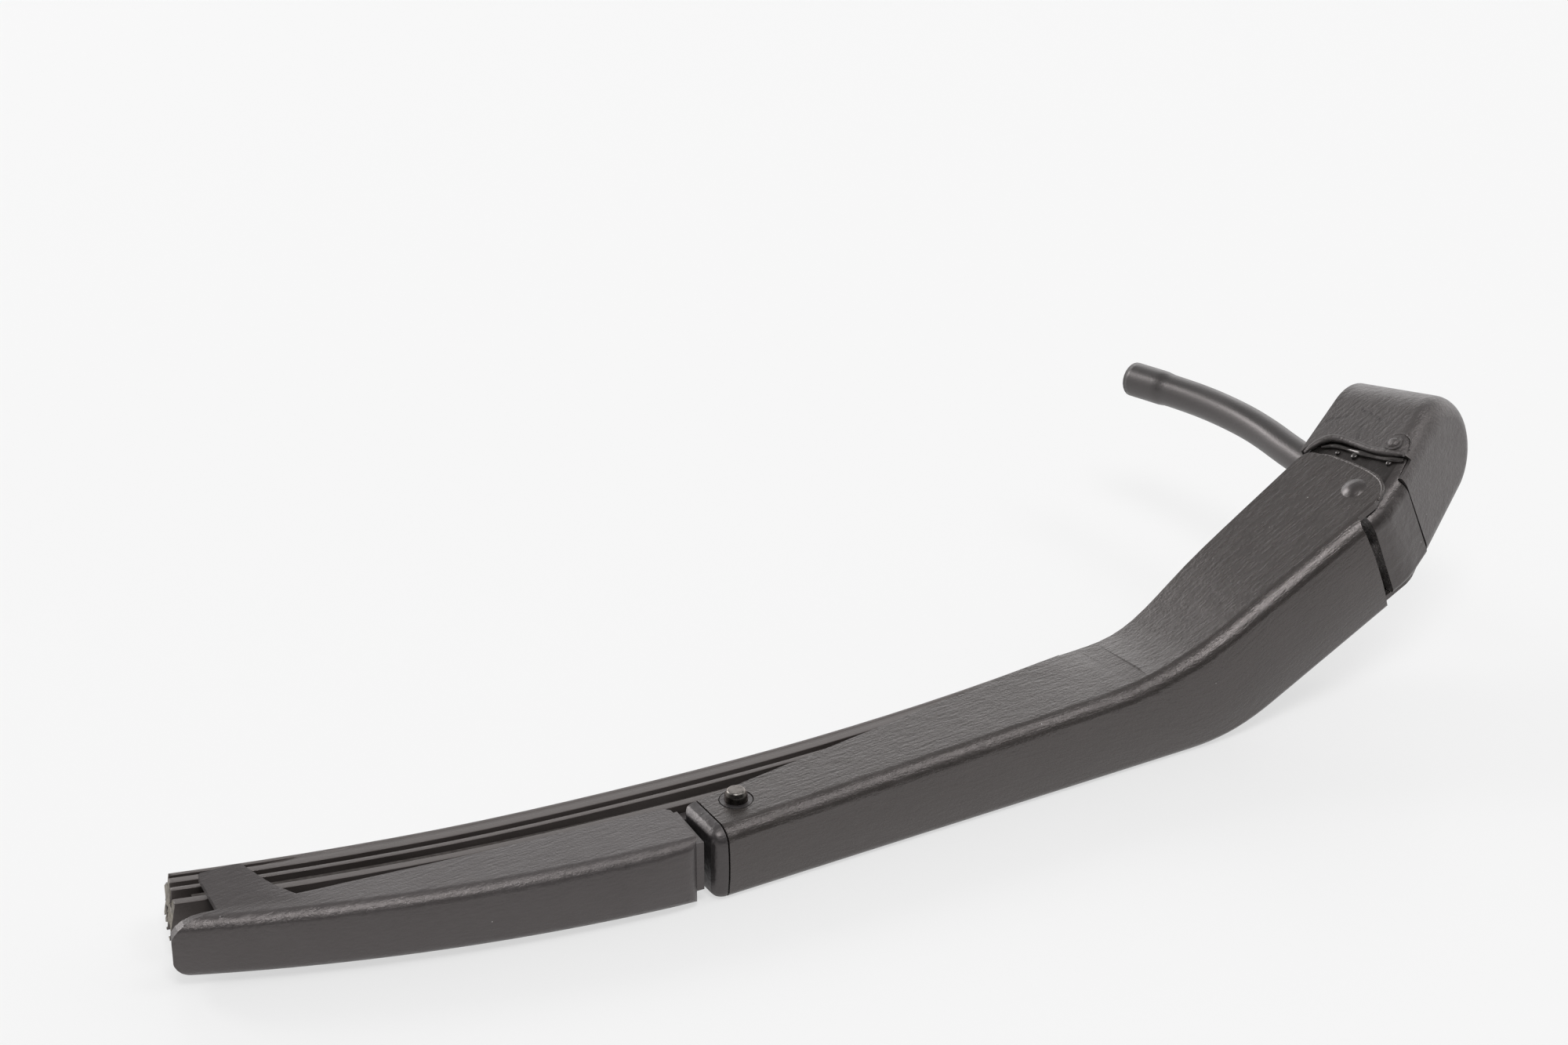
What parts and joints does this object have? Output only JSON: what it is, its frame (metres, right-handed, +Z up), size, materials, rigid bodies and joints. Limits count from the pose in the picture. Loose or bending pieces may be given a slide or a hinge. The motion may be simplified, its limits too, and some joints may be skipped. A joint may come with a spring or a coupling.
{
  "type": "wiper arm",
  "caption": "Cranked black wiper arm with a short bowed blade on a side pin, a capped spindle head that folds out on a sprung hinge, and a washer hose.",
  "frame": {"origin": "centre of the spindle bore at the mouth of its wall, where the spindle's shoulder seats", "axes": "+X along the straight run of the arm towards the head, +Y from the arm's outer web towards the glass, +Z up from the bench the lower cheek lies on"},
  "size_m": [0.3054, 0.0943, 0.0588],
  "materials": {
    "arm_paint": "satin black paint on pressed steel",
    "cast_head": "die casting painted semi-gloss black",
    "cover": "semi-gloss black",
    "steel": "dull steel",
    "moulding": "satin black",
    "blade_rubber": "matt, brownish black",
    "hose_rubber": "smooth black"
  },
  "bodies": {
    "head": {"pivot_head": "cast_head", "nut_cover": "cover", "spring_pin": "steel"},
    "arm": {"arm_channel": "arm_paint", "hinge_pin": "arm_paint", "tip_plug": "moulding", "blade_pin": "steel", "spring_anchor": "arm_paint", "tension_spring": "steel", "spray_jet": "moulding", "washer_pipe": "moulding", "hose_elbow": "moulding", "washer_hose": "hose_rubber"},
    "blade": {"blade_carrier": "moulding", "wiper_rubber": "blade_rubber", "flexor_upper": "steel", "flexor_lower": "steel"}
  },
  "joints": [
    {"name": "arm_hinge", "type": "hinge", "parent": "head", "child": "arm", "pos_m": [-0.0136, -0.02367, -0.00708], "axis": [-0.4617, 0, 0.887], "range_deg": [0, 62], "stiffness_Nm_per_rad": 0.15, "springref_deg": -68.75, "deforming": ["tension_spring"]},
    {"name": "blade_pivot", "type": "hinge", "parent": "arm", "child": "blade", "pos_m": [-0.17286, -0.02457, -0.03417], "axis": [0, 0, 1], "range_deg": [-4, 12]}
  ]
}
